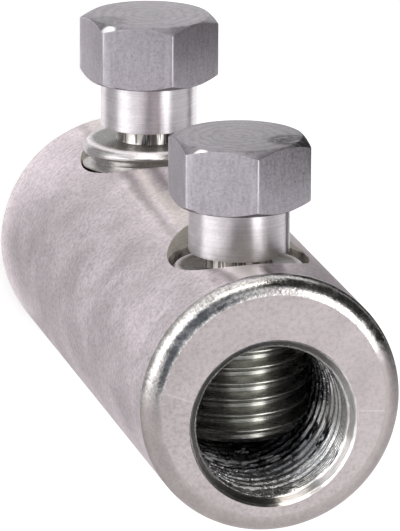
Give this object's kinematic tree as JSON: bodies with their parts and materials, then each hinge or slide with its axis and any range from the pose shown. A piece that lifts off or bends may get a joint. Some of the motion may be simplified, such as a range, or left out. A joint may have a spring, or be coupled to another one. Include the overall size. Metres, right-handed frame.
{
  "type": "screw splice sleeve",
  "caption": "Thick round metal sleeve with an off-centre bore from each end and two hexagon-head shear bolts that clamp the conductors it joins.",
  "frame": {"origin": "centre of the sleeve's rear end face, on the axis of its outside", "axes": "+Z along the sleeve's outside axis to its front mouth, -Y the way the bolts point out of the sleeve"},
  "size_m": [0.0264, 0.0407, 0.068],
  "materials": {
    "sleeve": "matt plated, fine turned",
    "bolt": "turned, satin"
  },
  "bodies": {
    "sleeve": {"sleeve": "sleeve"},
    "front_bolt": {"front_shear_bolt": "bolt"},
    "rear_bolt": {"rear_shear_bolt": "bolt"}
  },
  "joints": [
    {"name": "front_bolt_travel", "type": "slide", "parent": "sleeve", "child": "front_bolt", "axis": [0, -1, 0], "range_m": [0, 0.0132]},
    {"name": "rear_bolt_travel", "type": "slide", "parent": "sleeve", "child": "rear_bolt", "axis": [0, -1, 0], "range_m": [-0.0033, 0.0099]}
  ]
}
